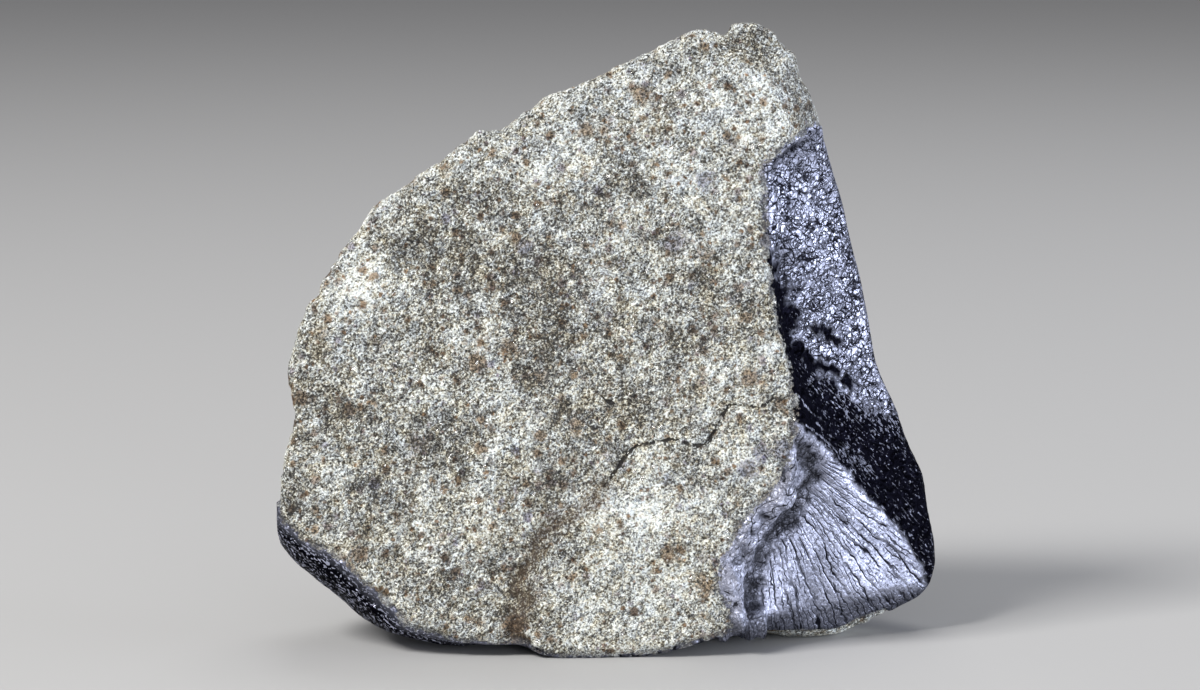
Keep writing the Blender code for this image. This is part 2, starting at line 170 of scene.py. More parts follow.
# The lower left limit of the bright upper facet, and dark streaks across it, as (x, height)
FACET_LIMIT = [
    (12.0, 34.0), (13.6, 32.6), (15.0, 30.0), (15.8, 28.0), (15.7, 25.0), (17.2, 23.6), (18.8, 22.6),
    (20.1, 21.5), (21.5, 20.4), (22.8, 19.8), (28.0, 19.4),
]
DARK_STREAKS = [[(17.0, 26.9), (18.1, 26.2), (19.2, 25.6)], [(15.5, 24.9), (18.0, 23.6), (20.4, 22.0)]]

# The dark band between facet and lobe: grey patches as (x, height, radius), and bright lines as (x, height)
GREY_PATCHES = [(19.6, 16.6, 0.6), (20.6, 15.8, 0.7), (21.8, 15.0, 0.6), (24.4, 9.6, 0.6), (24.9, 8.0, 0.7)]
BRIGHT_LINES = [
    [(15.4, 21.3), (16.2, 20.5), (16.9, 19.8), (17.8, 19.3)], [(17.3, 19.0), (17.9, 18.4), (18.8, 17.6)],
    [(19.2, 19.0), (20.0, 18.5), (20.7, 18.1)], [(16.3, 18.9), (17.6, 17.9), (19.0, 16.5)],
]

# Brown marks and violet patches of the face, as (x, height, radius)
BROWN_MARKS = [
    (11.8, 22.6, 0.75), (14.2, 20.6, 0.5), (11.6, 27.5, 0.5), (-10.2, 23.9, 0.8), (-9.9, 17.0, 0.5),
    (-20.6, 20.1, 0.6), (-24.5, 21.0, 0.7), (-19.7, 8.4, 0.8), (-7.3, 2.7, 0.9), (5.1, 8.6, 0.7),
    (-1.4, 42.7, 0.6), (-5.1, 17.9, 0.5),
]
VIOLET_PATCHES = [
    (11.6, 15.2, 0.8), (12.7, 16.6, 0.7), (14.4, 16.8, 0.9), (15.6, 18.7, 0.7), (13.3, 39.2, 0.9),
    (13.1, 33.7, 0.6), (-6.4, 33.2, 0.7),
]

# The middle of the back, from which its faint flow lines spread, as x, depth and height
BACK_MIDDLE = (3.0, 15.5, 19.0)

# Depths between which the face ends, and how much further off its lines are taken to be beyond it
FACE_FADE = (-7.0, -9.0)
OFF_FACE = 8.0

# Sizes of the noise that makes the limits of regions ragged, and of that which lets carved lines wander
WANDER, FINE_WANDER = 0.9, 0.45
CUT_WANDER, WIDE_WANDER = 0.7, 2.0

# Half the width of the strip where rock and crust meet, and the gap within which corners of the solid are one
EDGE_STRIP = 0.8
MERGE_GAP = 0.001


def ramp(values, none, full):
    """0 up to one value and 1 past the other, with an eased step between. It may run downwards."""
    t = np.clip((values - none) / (full - none), 0.0, 1.0)
    return t * t * (3.0 - 2.0 * t)


def turn_to_face_frame(vectors):
    """Vectors of the stone's frame turned into the frame of the face."""
    x, y, z = vectors.T
    lean = math.radians(LEAN_DEG)
    return np.stack([x, y * math.cos(lean) - z * math.sin(lean), y * math.sin(lean) + z * math.cos(lean)], 1)


def to_face_frame(points):
    """Places in the stone's frame, in metres, as x, depth and height in millimetres."""
    return turn_to_face_frame(points / MM + FACE_SHIFT)


def from_face_frame(x, depth, height):
    """A place of the face frame, in millimetres, in the stone's frame in metres."""
    lean = math.radians(LEAN_DEG)
    y = depth * math.cos(lean) + height * math.sin(lean)
    z = height * math.cos(lean) - depth * math.sin(lean)
    return (Vector((x, y, z)) - Vector(FACE_SHIFT)) * MM


def path_distance(places, path):
    """For each place, its distance to a path and the side of it, positive to the right."""
    path = np.array(path, float)
    nearest = np.full(len(places), np.inf)
    side = np.zeros(len(places))
    for start, end in zip(path, path[1:]):
        run = end - start
        share = np.clip((places - start) @ run / (run @ run), 0.0, 1.0)
        gap = places - (start + share[:, None] * run)
        distance = np.linalg.norm(gap, axis=1)
        closer = distance < nearest
        nearest = np.where(closer, distance, nearest)
        side = np.where(closer, np.sign(run[1] * gap[:, 0] - run[0] * gap[:, 1]), side)
    return nearest, side


def nearest_path(places, paths):
    return np.min([path_distance(places, path)[0] for path in paths], axis=0)


def across(edge, heights):
    """The x of an edge, given from top to bottom, at each height."""
    rising = sorted((height, x) for x, height in edge)
    return np.interp(heights, [h for h, _ in rising], [x for _, x in rising])


def spot(x, height, mid, level, radius, power=1):
    """1 in the middle of a round spot of the face, fading out about its radius."""
    return np.exp(-(((x - mid) ** 2 + (height - level) ** 2) / radius**2) ** power)


def noise_at(places):
    """Soft noise of about -0.7 to 0.7 at each place, whose lumps are about one unit across."""
    return np.array([noise.noise(Vector(place)) for place in places])


class Surface:
    """The vertices, normals and edges of a mesh as arrays."""

    def __init__(self, mesh):
        self.mesh = mesh
        self.count = len(mesh.vertices)
        edges = np.empty(len(mesh.edges) * 2, np.int32)
        mesh.edges.foreach_get("vertices", edges)
        self.edges = edges.reshape(-1, 2)
        self.ends = np.concatenate([self.edges[:, 0], self.edges[:, 1]])
        self.others = np.concatenate([self.edges[:, 1], self.edges[:, 0]])
        self.valence = np.maximum(np.bincount(self.ends, minlength=self.count), 1)
        self.points = self.of_vertices("co")
        self.normals = self.of_vertices("normal")

    def of_vertices(self, key):
        values = np.empty(self.count * 3, np.float32)
        self.mesh.vertices.foreach_get(key, values)
        return values.reshape(-1, 3).astype(float)

    def write(self):
        self.mesh.vertices.foreach_set("co", self.points.astype(np.float32).ravel())
        self.mesh.update()

    def blur(self, values, rounds):
        """Each value moved halfway to the mean of its neighbours, as often as told."""
        for _ in range(rounds):
            if values.ndim == 1:
                total = np.bincount(self.ends, values[self.others], self.count)
                values = 0.5 * values + 0.5 * total / self.valence
            else:
                values = np.stack([self.blur(column, 1) for column in values.T], 1)
        return values

    def store(self, name, values):
        plain = values.ndim == 1
        layer = self.mesh.attributes.new(name, "FLOAT" if plain else "FLOAT_VECTOR", "POINT")
        layer.data.foreach_set("value" if plain else "vector", values.astype(np.float32).ravel())

    def stored(self, name):
        layer = self.mesh.attributes[name]
        plain = layer.data_type == "FLOAT"
        values = np.empty(self.count * (1 if plain else 3), np.float32)
        layer.data.foreach_get("value" if plain else "vector", values)
        return values.astype(float) if plain else values.reshape(-1, 3).astype(float)


def select_only(thing):
    bpy.ops.object.select_all(action="DESELECT")
    thing.select_set(True)
    bpy.context.view_layer.objects.active = thing


def apply_modifier(stone, name, kind, **settings):
    modifier = stone.modifiers.new(name, kind)
    for key, value in settings.items():
        setattr(modifier, key, value)
    select_only(stone)
    bpy.ops.object.modifier_apply(modifier=name)


def copy_of_solid():
    """A closed copy of the plain solid, which is left as it is."""
    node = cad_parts[NODE]
    stone = bpy.data.objects.new(STONE, node.data.copy())
    stone.data.name = STONE
    stone.data.materials.clear()
    bpy.context.scene.collection.objects.link(stone)
    select_only(stone)
    bpy.ops.object.mode_set(mode="EDIT")
    bpy.ops.mesh.select_all(action="SELECT")
    bpy.ops.mesh.remove_doubles(threshold=MERGE_GAP * MM)
    bpy.ops.object.mode_set(mode="OBJECT")
    return stone


def rock_mask(places, looks):
    """True on broken rock: the face up to the crust's edges, the tip, the break along the upper left, and
    the rims at the left edge and under the lobe."""
    x, depth, height = places.T
    right = (x > across(RIGHT_EDGE, height)) & (height < RIGHT_EDGE[0][1])
    lower_left = (x < across(LOWER_LEFT_EDGE, height)) & (height < LOWER_LEFT_EDGE[0][1])
    face = (-looks[:, 1] > FACE_LOOKS) & ~right & ~lower_left
    left, low = BREAK_LEFT_END
    above = (height - low) + BREAK_SLOPE * (x - left) > 0.0
    wavy_depth = depth
    for size, reach in WAVES_OF_LIMITS:
        wavy_depth = wavy_depth + reach * noise_at(places / size)
    broken = above & (height > BREAK_LOWEST) & (wavy_depth < BREAK_BACK_DEPTH) & ~right
    rim_depth = np.interp(height, *np.array(LEFT_RIM).T)
    left_rim = (x < LEFT_RIM_X) & (height > LEFT_RIM_LOWEST) & (wavy_depth < rim_depth)
    under_lobe = (x > FOOT_RIM[0][0]) & (x < FOOT_RIM[-1][0]) & (depth < FOOT_RIM_DEPTH)
    under_lobe &= height < np.interp(x, *np.array(FOOT_RIM).T)
    return face | broken | left_rim | under_lobe


def distance_to_crust(surface, rock):
    """Millimetres from the edge of the crust: positive on the rock, negative on the crust."""
    first, second = surface.edges.T
    turning = rock[first] != rock[second]
    seam = (surface.points[first[turning]] + surface.points[second[turning]]) / 2
    tree = kdtree.KDTree(len(seam))
    for i, point in enumerate(seam):
        tree.insert(point, i)
    tree.balance()
    distance = np.array([tree.find(point)[2] for point in surface.points]) / MM
    return surface.blur(np.where(rock, distance, -distance), rounds=3)


def lay_flow(x, height):
    """Across and along the fan of flow lines, which run straight down at its left and spread at its right."""
    right, down = x - FAN_ROOT[0], FAN_ROOT[1] - height
    reach = np.hypot(right, down)
    turned = np.arctan2(right, down) * FAN_RADIUS
    spreading = right > 0
    return np.where(spreading, turned, right), np.where(spreading, reach, down)


def lay_back_flow(places):
    """The direction of each place from the middle of the back, and its distance from it."""
    away = places - BACK_MIDDLE
    beside = np.linalg.norm(away[:, [0, 2]], axis=1) + 1e-6
    return np.stack([away[:, 0] / beside, away[:, 2] / beside, np.linalg.norm(away, axis=1)], 1)


def above_foot(x, height):
    """1 where the lip beside the face may stand, and 0 at the foot of the lobe."""
    return ramp(np.maximum(LIP_FOOT[0] - x, height - LIP_FOOT[1]), 0.0, 1.0)


def mark_right_side(places, edge, wander, fine_wander):
    """What each place of the crust at the right is: part of the lobe, of its lip, of the facet above it, or
    of the dark band between them, how far painted shade darkens it, and how speckled it is."""
    x, depth, height = places.T
    flat = places[:, [0, 2]]
    right_side = ramp(x - across(RIGHT_EDGE, height), -1.4, -0.8) * ramp(depth, 7.0, 3.0)

    below_crest = np.interp(x, *np.array(FAN_CREST).T) - height + 0.35 * wander + 0.3 * fine_wander
    lobe = right_side * ramp(below_crest, -0.25, 0.25) * ramp(height, 0.6, 1.8) * ramp(depth, 3.0, 0.5)
    limit_gap, limit_side = path_distance(flat, FACET_LIMIT)
    past_limit = limit_gap * -limit_side + 1.1 * wander + 0.5 * fine_wander
    streak = ramp(nearest_path(flat, DARK_STREAKS) + 0.5 * fine_wander + 0.4 * wander, 0.50, 0.35)
    facet = right_side * ramp(past_limit, -0.2, 0.2) * (1.0 - lobe) * (1.0 - streak)
    band = right_side * (1.0 - lobe) * (1.0 - facet)

    # The lip and the crumpled parts of the lobe have the finish of the facet
    valley_gap, _ = path_distance(flat, LOBE_VALLEY)
    root_gap = np.hypot(x - ROOT_MIDDLE[0], height - ROOT_MIDDLE[1])
    crumpled = ramp(valley_gap + 0.5 * wander, 1.0, 0.6) * ramp(height, 3.5, 6.0)
    crumpled = np.maximum(crumpled, ramp(root_gap + 0.6 * wander, 2.6, 2.0))
    lip = lobe * ramp(edge, -2.5, -1.9) * ramp(height, 1.5, 4.5) * above_foot(x, height)
    lip = np.maximum(lip, lobe * crumpled)
    facet, fan = facet + lip, lobe - lip

    # Painted shade: the foot, the valley and the hollows of the lobe are darkened, and so is the back of the
    # facet
    foot = FAN_FOOT + FOOT_SLOPE * (x - FAN_ROOT[0]) - height
    unshaded = 1.0 - 0.55 * lobe * ramp(foot + 0.3 * wander, -0.3, 0.3)
    unshaded *= 1.0 - 0.65 * lobe * ramp(valley_gap + 0.8 * wander + 0.5 * fine_wander, 0.8, 0.2)
    for mid, level, radius, _ in HOLLOWS:
        gap = np.hypot(x - mid, height - level) + 0.8 * wander
        unshaded *= 1.0 - 0.6 * lobe * ramp(gap, radius, 0.4 * radius)
    unshaded *= 1.0 - (facet - lip) * ramp(depth, -6.0, 4.0) * 0.45

    specks = np.where(limit_side > 0, ramp(limit_gap, 4.0, 0.0), 1.0)
    specks = specks - 1.6 * ramp(edge, -4.0, -1.2) - 3.0 * streak
    for patch in GREY_PATCHES:
        specks += 2.2 * spot(x, height, *patch)
    marks = {"fan": fan, "facet": facet, "band": band, "lobe": lobe, "unshaded": unshaded, "specks": specks}
    return marks, lip


def mark_regions(stone):
    """Stores where each kind of surface lies, as attributes for the finish and as groups for the relief."""
    surface = Surface(stone.data)
    places = to_face_frame(surface.points)
    x, depth, height = places.T
    flat = places[:, [0, 2]]
    edge = distance_to_crust(surface, rock_mask(places, turn_to_face_frame(surface.normals)))
    wander = noise_at(surface.points / (WANDER * MM))
    fine_wander = noise_at(surface.points / (FINE_WANDER * MM))
    marks, lip = mark_right_side(places, edge, wander, fine_wander)
    fan, facet, lobe = marks["fan"], marks["facet"], marks["lobe"]

    on_face = ramp(depth, *FACE_FADE)
    off_face = OFF_FACE * (1.0 - on_face)
    brown, violet = (
        sum(spot(x, height, *mark, power=2) for mark in spots) for spots in (BROWN_MARKS, VIOLET_PATCHES)
    )
    lower_left = ramp(x, -8.0, -12.0) * ramp(depth + 1.6 * wander + fine_wander, -1.0, -4.5)
    marks |= {
        "edge": edge,
        "lower_left": lower_left * ramp(height, 14.0, 11.0),
        "lines": nearest_path(flat, BRIGHT_LINES),
        "plate_gap": path_distance(flat, PLATE_SIDE)[0] + off_face,
        "crack_gap": nearest_path(flat, (CRACK, SHORT_CRACK)) + off_face,
        "tone": sum(tone * spot(x, height, *patch) for *patch, tone in PATCHES) * on_face,
        "brown": brown * on_face,
        "violet": violet * on_face,
        "fan_flow": np.stack([*lay_flow(x, height), depth], 1),
        "back_flow": lay_back_flow(places),
    }
    for name, values in marks.items():
        surface.store(name, values)

    crust = ramp(edge, 0.25, -0.25)
    clear_of_foot = ramp(surface.points[:, 2] / MM, 0.05, 0.8)
    groups = {
        "rock": 1.0 - crust,
        "waved_crust": crust * (1.0 - 0.6 * (fan + facet - lip)),
        "pitted_crust": crust * (1.0 - 0.75 * lobe - 0.75 * (facet - lip)),
        "facet": crust * (facet - lip),
    }
    for name, weights in groups.items():
        weights = weights * clear_of_foot
        group = stone.vertex_groups.new(name=name)
        for index in np.nonzero(weights > 0.01)[0]:
            group.add([int(index)], weights[index], "REPLACE")


# Relief of the surface: its vertex group, kind of noise, size and depth in millimetres. Cells and wrinkles
# stand proud in the middle of each cell.
RELIEFS = [
    ("lumps_of_rock", "rock", "CLOUDS", 2.4, 0.34),
    ("clumps_of_grains", "rock", "CELLS", 1.0, 0.25),
    ("grains", "rock", "CLOUDS", 0.5, 0.19),
    ("waves_of_crust", "waved_crust", "CLOUDS", 3.0, 0.22),
    ("dimples_of_crust", "pitted_crust", "CLOUDS", 0.9, 0.12),
    ("wrinkled_cells", "facet", "WRINKLES", 1.7, 0.04),
]


def relief_texture(name, kind, size):
    if kind == "CLOUDS":
        texture = bpy.data.textures.new(name, "CLOUDS")
        texture.noise_depth = 2
    else:
        texture = bpy.data.textures.new(name, "VORONOI")
        if kind == "CELLS":
            texture.weight_1, texture.weight_2 = 1.0, 0.0
        else:
            texture.weight_1, texture.weight_2 = -1.0, 1.0
            texture.noise_intensity = 1.4
    texture.noise_scale = size * MM
    return texture


def raise_relief(stone, depth_scale):
    for name, group, kind, size, depth in RELIEFS:
        strength = (-depth if kind == "CELLS" else depth) * depth_scale * MM
        apply_modifier(
            stone, name, "DISPLACE", texture=relief_texture(name, kind, size), texture_coords="LOCAL",
            vertex_group=group, mid_level=0.5, strength=strength,
        )


# What is carved, in millimetres: cuts along lines as (depth, half width), and how far other parts rise. The
# step at the edge of the crust rises on its side and sinks on the rock's side.
CRACK_CUT = (0.22, 0.32)
PLATE_CUT = (0.28, 1.3)
VALLEY_CUT = (0.60, 1.3)
EDGE_STEP = 0.12
LOWER_LEFT_RISE = 0.65
LIP_RISE = 0.50
SWIRL_RISE = 0.045


def carved(cut, gap):
    """How deep a cut is at each distance from its line."""
    depth, half_width = cut
    return depth * ramp(gap, half_width, 0.0)


def carve(stone):
    """Moves the crack, the step of the plate, the lip and the folds of the lobe along the normals."""
    surface = Surface(stone.data)
    edge, lobe, band = (surface.stored(name) for name in ("edge", "lobe", "band"))
    on_rock = ramp(edge, -0.1, 0.2)
    wander = noise_at(surface.points / (CUT_WANDER * MM))
    wide_wander = noise_at(surface.points / (WIDE_WANDER * MM))
    rise = np.zeros(surface.count)
    rise -= carved(CRACK_CUT, surface.stored("crack_gap") + 0.25 * wide_wander) * on_rock
    rise -= carved(PLATE_CUT, surface.stored("plate_gap") + 0.6 * wander) * on_rock
    rise += EDGE_STEP * ramp(edge, -1.2, -0.3) * ramp(edge, 0.1, -0.1)
    rise -= EDGE_STEP * ramp(edge, -0.1, 0.15) * ramp(edge, 0.7, 0.2)
    places = to_face_frame(surface.points)
    x, _, height = places.T
    for *place, lump in TIP_LUMPS:
        rise += lump * spot(x, height, *place) * on_rock
    rise += LOWER_LEFT_RISE * surface.stored("lower_left") * ramp(edge, -0.1, -1.6)

    # The lobe and the band beside it, apart from the rest of the stone
    near = np.nonzero(lobe + band > 0.01)[0]
    edge, x, height = edge[near], x[near], height[near]
    wander, wide_wander = wander[near], wide_wander[near]
    wandering = 0.35 * wander + 0.8 * wide_wander
    valley_gap, _ = path_distance(places[near][:, [0, 2]], LOBE_VALLEY)
    lip = ramp(edge, -2.6, -1.2) * ramp(edge, -0.1, -0.6) * ramp(height, 17.0, 15.0)
    lip *= above_foot(x, height)
    folds = LIP_RISE * lip * (1.0 + 2.0 * wide_wander + 0.5 * wander)
    folds -= carved(VALLEY_CUT, valley_gap + 0.5 * wandering)
    for mid, level, radius, deep in HOLLOWS:
        folds -= carved((deep, radius), np.hypot(x - mid, height - level) + 0.6 * wandering)
    flow = surface.stored("fan_flow")[near]
    swirl = noise_at(flow / (1.9, 14.0, 9.0) + 0.10 * wandering[:, None])
    folds += SWIRL_RISE * (swirl - 1.0 + ramp(np.abs(swirl), 0.0, 0.14))
    rise[near] += folds * ramp(edge, 0.2, -0.2) * (lobe[near] + 0.4 * band[near])
    surface.points += surface.normals * (rise * MM)[:, None]
    surface.write()


def keep_to_box(stone):
    """No vertex leaves the box of the plain solid, so the stone keeps its size and stands on its foot."""
    surface = Surface(stone.data)
    surface.points = np.clip(surface.points, *(np.array(corner) for corner in CAD_BOX))
    surface.write()


def thin_out(stone, most):
    triangles = sum(len(face.vertices) - 2 for face in stone.data.polygons)
    if triangles > most:
        apply_modifier(stone, "thinner", "DECIMATE", use_collapse_triangulate=True, ratio=most / triangles)


def mark_hollows(stone):
    """Stores how deep each place lies below the surface round it, in millimetres, from grains to lumps."""
    surface = Surface(stone.data)
    mean = surface.blur(surface.points, rounds=14)
    hollow = np.einsum("ij,ij->i", mean - surface.points, surface.normals) / MM
    surface.store("hollow", hollow)


def shape_stone(settings):
    stone = copy_of_solid()
    apply_modifier(stone, "rounder", "SUBSURF", levels=1, render_levels=1)
    apply_modifier(stone, "even_faces", "REMESH", mode="VOXEL", voxel_size=settings.detail)
    apply_modifier(stone, "facets_melted", "SMOOTH", factor=0.5, iterations=12)
    mark_regions(stone)
    raise_relief(stone, settings.relief)
    carve(stone)
    keep_to_box(stone)
    stone.vertex_groups.clear()
    thin_out(stone, settings.most_triangles)
    mark_hollows(stone)
    select_only(stone)
    bpy.ops.object.shade_smooth()
    return stone


def wire(tree, kind, inputs=None, **settings):
    """A new node with its settings, and each named input given a value or linked to a socket."""
    made = tree.nodes.new(kind)
    for key, value in settings.items():
        setattr(made, key, value)
    fill(tree, made, inputs or {})
    return made


def fill(tree, node, inputs):
    for key, value in inputs.items():
        if isinstance(value, bpy.types.NodeSocket):
            tree.links.new(value, node.inputs[key])
        else:
            node.inputs[key].default_value = value


def calc(tree, operation, *values):
    """A Math node's result."""
    return wire(tree, "ShaderNodeMath", dict(enumerate(values)), operation=operation).outputs[0]


def fit(tree, value, low, high, to_low=0.0, to_high=1.0, eased=False):
    """A value mapped from one range to another, and kept inside it."""
    inputs = {"Value": value, "From Min": low, "From Max": high, "To Min": to_low, "To Max": to_high}
    interpolation = "SMOOTHSTEP" if eased else "LINEAR"
    return wire(tree, "ShaderNodeMapRange", inputs, interpolation_type=interpolation).outputs[0]


def mix_color(tree, share, first, second, blend="MIX"):
    inputs = {0: share, 6: first, 7: second}
    return wire(tree, "ShaderNodeMix", inputs, data_type="RGBA", blend_type=blend).outputs[2]


def mix_value(tree, share, first, second):
    return wire(tree, "ShaderNodeMix", {0: share, 2: first, 3: second}, data_type="FLOAT").outputs[0]


def color_ramp(tree, value, stops):
    made = wire(tree, "ShaderNodeValToRGB", {"Fac": value})
    elements = made.color_ramp.elements
    while len(elements) > 1:
        elements.remove(elements[-1])
    elements[0].position, elements[0].color = stops[0][0], (*stops[0][1], 1.0)
    for position, color in stops[1:]:
        elements.new(position).color = (*color, 1.0)
    return made.outputs["Color"]


def clouds(tree, vector, size, detail=2.0, roughness=0.5):
    """Soft noise whose lumps are about so many millimetres across."""
    inputs = {"Vector": vector, "Scale": 1.0 / size, "Detail": detail, "Roughness": roughness}
    return wire(tree, "ShaderNodeTexNoise", inputs)


def cells(tree, vector, size, feature="F1"):
    return wire(tree, "ShaderNodeTexVoronoi", {"Vector": vector, "Scale": 1.0 / size}, feature=feature)


# The middle of a colour's range
CENTRE = (0.5, 0.5, 0.5)

# What a finish puts out, and its inputs that are stored on the mesh under the same names
FINISH = ("Color", "Roughness", "Metallic", "Height")
ROCK_MASKS = ("Tone", "Crack Gap", "Plate Gap", "Brown", "Violet")
CRUST_MASKS = ("Fan", "Facet", "Band", "Lower Left", "Unshaded", "Specks", "Lobe", "Lines")
CRUST_FLOWS = ("Fan Flow", "Back Flow")


def new_group(name, vectors, values, colors):
    """A node group with inputs of three kinds, and with the outputs that a finish has."""
    group = bpy.data.node_groups.new(name, "ShaderNodeTree")
    inputs = (("Vector", vectors), ("Float", values), ("Color", colors))
    outputs = (("Color", FINISH[:1]), ("Float", FINISH[1:]))
    for in_out, kinds in (("INPUT", inputs), ("OUTPUT", outputs)):
        for kind, labels in kinds:
            for label in labels:
                group.interface.new_socket(label, in_out=in_out, socket_type="NodeSocket" + kind)
    return group, group.nodes.new("NodeGroupInput").outputs, group.nodes.new("NodeGroupOutput")


def vector_calc(tree, operation, *values):
    """A Vector Math node's result."""
    made = wire(tree, "ShaderNodeVectorMath", dict(enumerate(values)), operation=operation)
    return made.outputs["Value" if operation == "DOT_PRODUCT" else "Vector"]


def warped(tree, vector, size, amount):
    """A vector pushed about by noise, so that cells lose their straight edges."""
    push = vector_calc(tree, "SUBTRACT", clouds(tree, vector, size).outputs["Color"], CENTRE)
    push = wire(tree, "ShaderNodeVectorMath", {0: push, "Scale": amount}, operation="SCALE").outputs[0]
    return vector_calc(tree, "ADD", vector, push)


def drawn_out(tree, vector, turn, stretch):
    """A vector whose patterns are longer along a line of the face, turned from upright by so many radians."""
    inputs = {"Vector": vector, "Rotation": (0.0, turn, 0.0), "Scale": (1.0 / stretch, 1.0, stretch)}
    return wire(tree, "ShaderNodeMapping", inputs, vector_type="TEXTURE").outputs[0]


def centred(tree, vector, size, detail=1.0, roughness=0.5):
    """Soft noise that is nought on average."""
    return calc(tree, "SUBTRACT", clouds(tree, vector, size, detail, roughness).outputs["Fac"], 0.5)


def octaves(tree, vector, size, count):
    """Noise with as much contrast in its fine lumps as in its large ones, nought on average."""
    return centred(tree, vector, size, count - 1.0, 0.95)


def axis(tree, vector, name):
    return wire(tree, "ShaderNodeSeparateXYZ", {"Vector": vector}).outputs[name]


def parts(tree, color):
    return wire(tree, "ShaderNodeSeparateColor", {"Color": color}).outputs


def total(tree, *terms):
    """The sum of values, each given plain or as a pair of a value and its weight."""
    result = None
    for term in terms:
        if isinstance(term, tuple):
            term = calc(tree, "MULTIPLY", *term)
        result = term if result is None else calc(tree, "ADD", result, term)
    return result


def tilted(tree, cell):
    """Height of cells that each lean their own way, so that each catches the light as a small facet."""
    vector = cell.inputs["Vector"].links[0].from_socket
    offset = vector_calc(tree, "SUBTRACT", vector, cell.outputs["Position"])
    lean = vector_calc(tree, "SUBTRACT", cell.outputs["Color"], CENTRE)
    return vector_calc(tree, "DOT_PRODUCT", offset, lean)


def line(tree, gap, width, plateau=0.4):
    """1 on a line, from its middle to a share of its half width, falling to 0 at its sides."""
    return fit(tree, gap, plateau * width, width, 1.0, 0.0)


def groove(tree, field, width):
    """1 along the lines where a centred field changes sign, falling to 0 at both sides."""
    return line(tree, calc(tree, "ABSOLUTE", field), width, 0.35)


# Sizes of the rock's patterns, and how far its grains are drawn out along a line that is turned from upright
GRAIN, FINE_GRAIN, PATCH, CRYSTAL, SPLINTER = 1.3, 0.18, 7.0, 0.21, 0.48
SPLINTER_TURN, SPLINTER_STRETCH = 0.75, 1.25

# Tones of the broken rock from its darkest to its lightest grains
ROCK_TONES = [
    (0.00, (0.026, 0.023, 0.019)), (0.18, (0.075, 0.068, 0.055)), (0.35, (0.170, 0.162, 0.138)),
    (0.50, (0.300, 0.295, 0.265)), (0.65, (0.460, 0.464, 0.426)), (0.82, (0.655, 0.668, 0.630)),
    (1.00, (0.872, 0.885, 0.855)),
]

# Hues of the grains from cold to warm, and the colours of marks and of flecks of metal
HUES = [(0.0, (0.90, 0.97, 1.10)), (0.5, (0.984, 1.002, 1.0)), (1.0, (1.085, 1.0, 0.82))]
MARK_COLORS = {"Brown": (0.38, 0.27, 0.185, 1.0), "Violet": (0.42, 0.41, 0.50, 1.0)}
METAL = (0.75, 0.74, 0.70, 1.0)

# Stains of the rock: size of their cells, share of cells without one, reach in the cell, and colours
STAINS = [
    (0.95, 0.32, 0.52, [
        (0.0, (0.48, 0.47, 0.60)), (0.3, (0.46, 0.35, 0.26)),
        (0.7, (0.33, 0.23, 0.155)), (1.0, (0.21, 0.155, 0.125)),
    ]),
    (0.50, 0.66, 0.50, [
        (0.0, (0.40, 0.36, 0.46)), (0.3, (0.42, 0.29, 0.19)),
        (0.7, (0.33, 0.20, 0.115)), (1.0, (0.22, 0.16, 0.13)),
    ]),
    (2.60, 0.60, 0.38, [
        (0.0, (0.52, 0.52, 0.64)), (0.5, (0.50, 0.45, 0.46)),
        (0.6, (0.58, 0.45, 0.34)), (1.0, (0.42, 0.33, 0.27)),
    ]),
]


